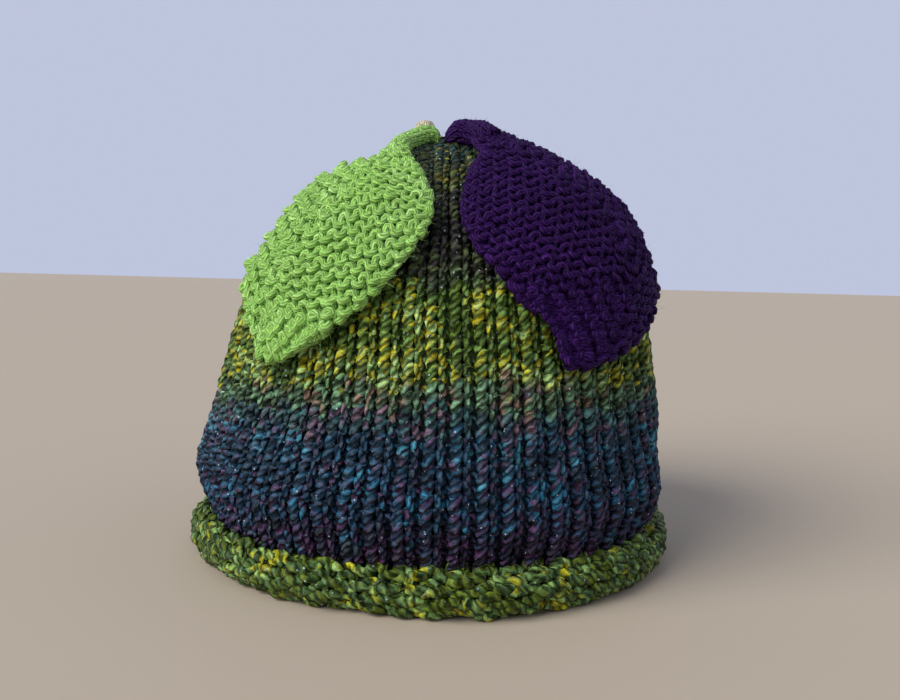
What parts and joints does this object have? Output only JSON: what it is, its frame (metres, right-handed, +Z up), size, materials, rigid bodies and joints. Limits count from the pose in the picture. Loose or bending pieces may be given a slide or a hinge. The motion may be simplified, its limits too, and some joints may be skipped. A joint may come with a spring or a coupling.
{
  "type": "tea cosy",
  "caption": "Hand-knitted tea cosy with a rolled hem, a spout slit and a handle slit, topped with two garter-stitch leaves.",
  "frame": {"origin": "middle of the bounding box at the height the hem rests at", "axes": "+X from the spout side to the handle side, -Y is the front with both leaves, +Z up from the hem to the crown"},
  "size_m": [0.1694, 0.1546, 0.1483],
  "materials": {
    "variegated_yarn": "matt",
    "green_yarn": "matt",
    "purple_yarn": "matt",
    "cream_yarn": "matt"
  },
  "bodies": {
    "root": {"body": "variegated_yarn", "green_leaf": "green_yarn", "purple_leaf": "purple_yarn", "crown_knot": "cream_yarn"}
  },
  "joints": []
}
